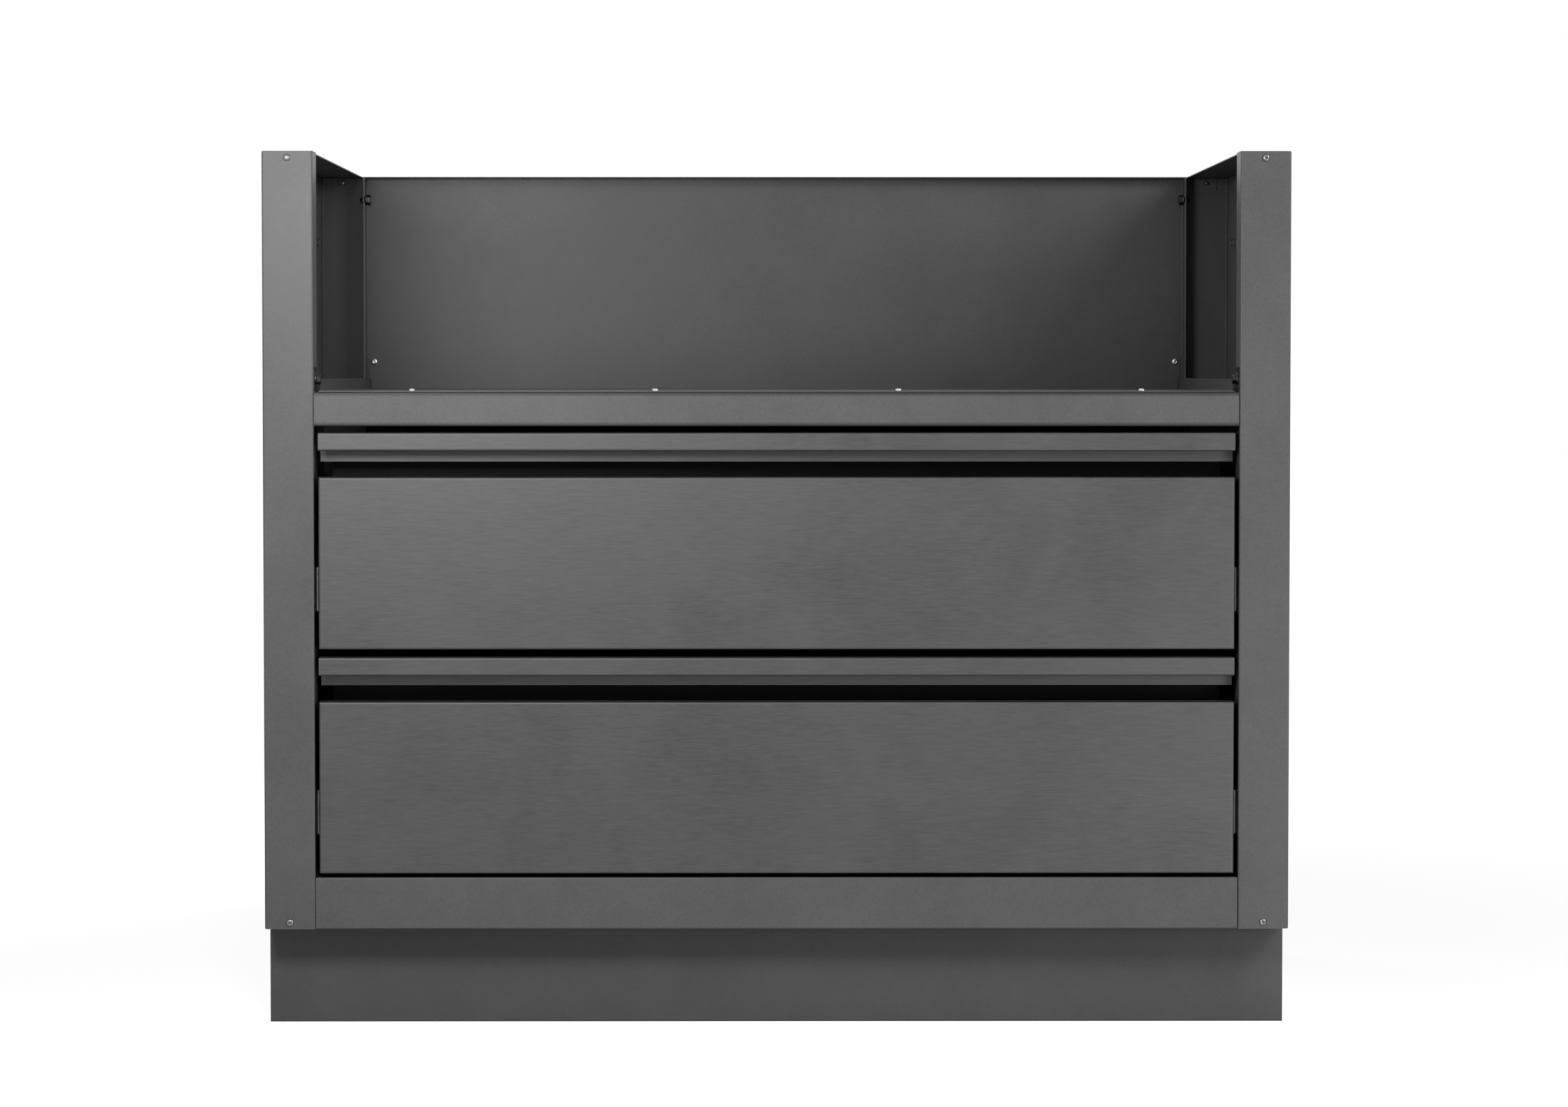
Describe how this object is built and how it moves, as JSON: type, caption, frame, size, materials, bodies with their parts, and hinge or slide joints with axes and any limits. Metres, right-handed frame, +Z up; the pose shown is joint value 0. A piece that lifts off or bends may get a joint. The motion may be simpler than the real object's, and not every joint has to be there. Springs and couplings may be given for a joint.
{
  "type": "outdoor kitchen cabinet",
  "caption": "Free-standing outdoor kitchen base cabinet in painted folded steel, with an open recess for a built-in grill above full-width stainless-fronted drawers on ball slides.",
  "frame": {"origin": "centre of the footprint, on the ground", "axes": "+Z up; +Y to the back, so the drawers open towards -Y; +X to the right seen from the front"},
  "size_m": [1.042, 0.6272, 0.892],
  "materials": {
    "cabinet_paint": "fine satin powder coat, dark grey",
    "drawer_paint": "satin powder coat, near black",
    "stainless": "stainless steel brushed along the width",
    "zinc_plate": "bright zinc plate",
    "black_steel": "black oxide, slightly oily",
    "bright_steel": "polished ball steel and plain cage strip"
  },
  "bodies": {
    "cabinet": {"left_side_panel": "cabinet_paint", "right_side_panel": "cabinet_paint", "back_panel": "cabinet_paint", "grill_tray": "cabinet_paint", "front_rail": "cabinet_paint", "bottom_panel": "cabinet_paint", "plinth_front": "cabinet_paint", "plinth_rear": "cabinet_paint", "plinth_left": "cabinet_paint", "plinth_right": "cabinet_paint", "upper_left_mount": "cabinet_paint", "upper_right_mount": "cabinet_paint", "lower_left_mount": "cabinet_paint", "lower_right_mount": "cabinet_paint", "corner_screws": "zinc_plate", "rail_screws": "zinc_plate", "tray_screws": "zinc_plate", "link_nuts": "cabinet_paint", "frame_bolts": "black_steel", "frame_washers": "black_steel", "plinth_screws": "zinc_plate", "slide_screws": "zinc_plate", "upper_left_cabinet_member": "zinc_plate", "upper_right_cabinet_member": "zinc_plate", "lower_left_cabinet_member": "zinc_plate", "lower_right_cabinet_member": "zinc_plate"},
    "upper_drawer": {"upper_left_drawer_member": "zinc_plate", "upper_right_drawer_member": "zinc_plate", "upper_front_panel": "stainless", "upper_handle": "stainless", "upper_inner_front": "drawer_paint", "upper_left_box_side": "drawer_paint", "upper_right_box_side": "drawer_paint", "upper_box_floor": "drawer_paint", "upper_box_back": "drawer_paint", "upper_drawer_screws": "zinc_plate"},
    "upper_left_middle": {"upper_left_middle_member": "zinc_plate"},
    "upper_right_middle": {"upper_right_middle_member": "zinc_plate"},
    "upper_outer_cages": {"upper_outer_ball_cages": "bright_steel"},
    "upper_inner_cages": {"upper_inner_ball_cages": "bright_steel"},
    "lower_drawer": {"lower_left_drawer_member": "zinc_plate", "lower_right_drawer_member": "zinc_plate", "lower_front_panel": "stainless", "lower_handle": "stainless", "lower_inner_front": "drawer_paint", "lower_left_box_side": "drawer_paint", "lower_right_box_side": "drawer_paint", "lower_box_floor": "drawer_paint", "lower_box_back": "drawer_paint", "lower_drawer_screws": "zinc_plate"},
    "lower_left_middle": {"lower_left_middle_member": "zinc_plate"},
    "lower_right_middle": {"lower_right_middle_member": "zinc_plate"},
    "lower_outer_cages": {"lower_outer_ball_cages": "bright_steel"},
    "lower_inner_cages": {"lower_inner_ball_cages": "bright_steel"}
  },
  "joints": [
    {"name": "upper_drawer_slide", "type": "slide", "parent": "cabinet", "child": "upper_drawer", "axis": [0, -1, 0], "range_m": [0, 0.5]},
    {"name": "upper_left_middle_slide", "type": "slide", "parent": "cabinet", "child": "upper_left_middle", "axis": [0, -1, 0], "range_m": [0, 0.25]},
    {"name": "upper_right_middle_slide", "type": "slide", "parent": "cabinet", "child": "upper_right_middle", "axis": [0, -1, 0], "range_m": [0, 0.25]},
    {"name": "upper_outer_cages_slide", "type": "slide", "parent": "cabinet", "child": "upper_outer_cages", "axis": [0, -1, 0], "range_m": [0, 0.125]},
    {"name": "upper_inner_cages_slide", "type": "slide", "parent": "cabinet", "child": "upper_inner_cages", "axis": [0, -1, 0], "range_m": [0, 0.375]},
    {"name": "lower_drawer_slide", "type": "slide", "parent": "cabinet", "child": "lower_drawer", "axis": [0, -1, 0], "range_m": [0, 0.5]},
    {"name": "lower_left_middle_slide", "type": "slide", "parent": "cabinet", "child": "lower_left_middle", "axis": [0, -1, 0], "range_m": [0, 0.25]},
    {"name": "lower_right_middle_slide", "type": "slide", "parent": "cabinet", "child": "lower_right_middle", "axis": [0, -1, 0], "range_m": [0, 0.25]},
    {"name": "lower_outer_cages_slide", "type": "slide", "parent": "cabinet", "child": "lower_outer_cages", "axis": [0, -1, 0], "range_m": [0, 0.125]},
    {"name": "lower_inner_cages_slide", "type": "slide", "parent": "cabinet", "child": "lower_inner_cages", "axis": [0, -1, 0], "range_m": [0, 0.375]}
  ],
  "couplings": [
    {"joint": "upper_left_middle_slide", "follows": "upper_drawer_slide", "ratio": 0.5},
    {"joint": "upper_right_middle_slide", "follows": "upper_drawer_slide", "ratio": 0.5},
    {"joint": "upper_outer_cages_slide", "follows": "upper_drawer_slide", "ratio": 0.25},
    {"joint": "upper_inner_cages_slide", "follows": "upper_drawer_slide", "ratio": 0.75},
    {"joint": "lower_left_middle_slide", "follows": "lower_drawer_slide", "ratio": 0.5},
    {"joint": "lower_right_middle_slide", "follows": "lower_drawer_slide", "ratio": 0.5},
    {"joint": "lower_outer_cages_slide", "follows": "lower_drawer_slide", "ratio": 0.25},
    {"joint": "lower_inner_cages_slide", "follows": "lower_drawer_slide", "ratio": 0.75}
  ]
}
